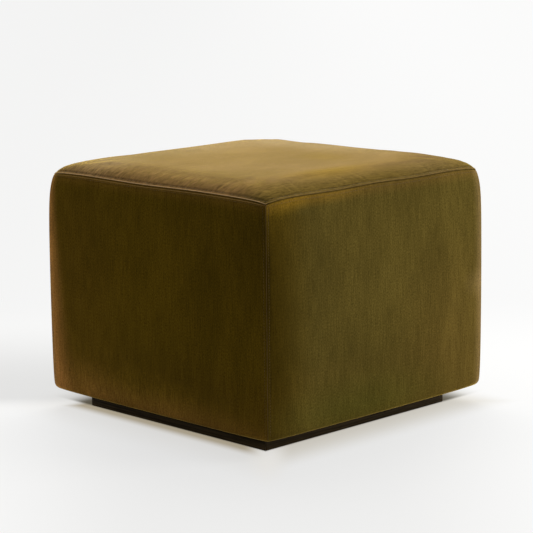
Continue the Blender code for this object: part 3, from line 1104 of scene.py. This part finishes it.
floor_mesh.from_pydata(
    [(-30, -30, 0), (30, -30, 0), (30, 30, 0), (-30, 30, 0)], [], [(0, 1, 2, 3)]
)
floor = add_object("floor", floor_mesh)
pale_finish = {"Base Color": (0.80, 0.80, 0.79, 1.0), "Roughness": 0.35, "Specular IOR Level": 0.2}
pale, tree, shader = new_material("pale_floor", pale_finish)
floor_mesh.materials.append(pale)
ground = add_node(tree, "ShaderNodeTexCoord")["Object"]
behind = combine(tree, "DOT_PRODUCT", ground, BACKWARDS)
sideways = combine(tree, "DOT_PRODUCT", ground, SIDEWAYS)
to_side = calculate(tree, "ABSOLUTE", sideways)
near_light = remap(tree, to_side, 0.15, 0.45, NEAR_MIDDLE, NEAR_ENDS)
far_light = remap(tree, sideways, -1.0, 1.0, FAR_LEFT, FAR_RIGHT)
far = remap(tree, behind, -0.2, 0.9)
brighter = calculate(tree, "SUBTRACT", far_light, near_light)
light_seen = calculate(tree, "MULTIPLY_ADD", brighter, far, near_light)
# The pouf's own weak shadow, cast to the left by the light on the right.
to_left = remap(tree, sideways, -0.30, -0.20, 1.0, 0.0)
starting = remap(tree, behind, -0.01, 0.07)
ending = remap(tree, behind, 0.15, 0.70, 1.0, 0.0)
in_shade = times(tree, to_left, OWN_SHADOW, starting, ending)
strength = calculate(tree, "SUBTRACT", light_seen, in_shade)
# The shade under the overhang, darker at the left than at the right, and slight at the near corner.
away = add_node(tree, "ShaderNodeSeparateXYZ", None, {0: combine(tree, "ABSOLUTE", ground)})
from_middle = calculate(tree, "MAXIMUM", away[0], away[1])
under_left = remap(tree, from_middle, 0.210, 0.246, 1.0, 0.0)
outer_left = remap(tree, from_middle, 0.22, 0.34, 1.0, 0.0)
under_left = calculate(tree, "MULTIPLY_ADD", outer_left, 0.15, under_left)
under_right = remap(tree, from_middle, 0.222, 0.305, 1.0, 0.0)
shaded_left = mix_colour(tree, under_left, PAPER, SHADE_LEFT)
shaded_right = mix_colour(tree, under_right, PAPER, SHADE_RIGHT)
shaded = mix_colour(tree, remap(tree, sideways, -0.03, 0.03), shaded_left, shaded_right)
near_corner = mix_colour(tree, remap(tree, from_middle, 0.24, 0.36), SHADE_CORNER, PAPER)
shaded = mix_colour(tree, remap(tree, to_side, 0.004, 0.040), near_corner, shaded)
# Beyond the plinth's left and right ends, under the two far sides, the shade is deep.
place = add_node(tree, "ShaderNodeSeparateXYZ", None, {0: ground})
nearer = calculate(tree, "MAXIMUM", place[0], times(tree, place[1], -1.0))
farther = calculate(tree, "MAXIMUM", times(tree, place[0], -1.0), place[1])
deep = times(tree, remap(tree, farther, 0.230, 0.280, 1.0, 0.0), 0.75)
deep = calculate(tree, "MULTIPLY_ADD", remap(tree, farther, 0.25, 0.32, 1.0, 0.0), 0.25, deep)
deep = times(tree, deep, remap(tree, nearer, 0.200, 0.212, 1.0, 0.0))
shaded = mix_colour(tree, deep, shaded, SHADE_DEEP)
paper = add_node(tree, "ShaderNodeEmission", None, {"Color": shaded, "Strength": strength})
share = remap(tree, behind, 0.2, 0.9, NEAR_SHARE, 1.0)
seen = add_node(tree, "ShaderNodeLightPath")["Is Camera Ray"]
share = times(tree, share, remap(tree, from_middle, *PLINTH_EDGE), seen)
blended = add_node(tree, "ShaderNodeMixShader", None, {0: share, 1: shader.outputs[0], 2: paper[0]})
tree.links.new(blended[0], tree.nodes["Material Output"].inputs["Surface"])

# ---- Light and camera ----
# Soft light from above and from the right, a weak light all round, and the camera that the photo was
# solved for. Above the floor the backdrop is as pale as the floor far off.
world = bpy.data.worlds.new("studio")
bpy.context.scene.world = world
world.use_nodes = True
tree = world.node_tree
soft_light = tree.nodes["Background"]
soft_light.inputs["Color"].default_value = (0.97, 0.98, 1.0, 1.0)
soft_light.inputs["Strength"].default_value = 0.30
backdrop = add_node(
    tree, "ShaderNodeBackground", None, {"Color": PAPER, "Strength": (FAR_LEFT + FAR_RIGHT) / 2}
)
seen = add_node(tree, "ShaderNodeLightPath")["Is Camera Ray"]
surroundings = add_node(
    tree, "ShaderNodeMixShader", None, {0: seen, 1: soft_light.outputs[0], 2: backdrop[0]}
)
tree.links.new(surroundings[0], tree.nodes["World Output"].inputs["Surface"])


def add_area_light(name, place, target, size, power):
    """A square, slightly warm soft light aimed at a point."""
    data = bpy.data.lights.new(name, "AREA")
    data.shape = "SQUARE"
    data.size = size
    data.energy = power
    data.color = (1.0, 0.99, 0.97)
    light = add_object(name, data)
    light.location = place
    light.rotation_euler = (Vector(target) - Vector(place)).to_track_quat("-Z", "Y").to_euler()


add_area_light("overhead", (-1.0, 1.2, 2.6), (0.0, 0.0, 0.3), 2.4, 180.0)
add_area_light("side", (2.0, 1.7, 1.7), (0.0, 0.0, 0.2), 1.4, 70.0)

AZIMUTH = 45.633                # degrees round from -Y towards +X
ELEVATION = 10.610
ROLL = -0.7916
DISTANCE = 3.4413               # metres from the origin
SHIFT_RIGHT = -0.00115
SHIFT_UP = 0.22774
LENS = 139.74                   # millimetres, on a sensor 36 mm wide
azimuth, elevation, roll = (math.radians(angle) for angle in (AZIMUTH, ELEVATION, ROLL))
back = Vector((
    math.sin(azimuth) * math.cos(elevation),
    -math.cos(azimuth) * math.cos(elevation),
    math.sin(elevation),
))
level_right = (-back).cross(Vector((0.0, 0.0, 1.0))).normalized()
level_up = level_right.cross(-back)
right = level_right * math.cos(roll) + level_up * math.sin(roll)
up = level_up * math.cos(roll) - level_right * math.sin(roll)
camera_data = bpy.data.cameras.new("camera")
camera_data.lens = LENS
camera_data.sensor_width = 36.0
camera = add_object("camera", camera_data)
place = back * DISTANCE + right * SHIFT_RIGHT + up * SHIFT_UP
camera.matrix_world = Matrix.Translation(place) @ Matrix((right, up, back)).transposed().to_4x4()
bpy.context.scene.camera = camera
bpy.context.scene.view_settings.view_transform = "Standard"
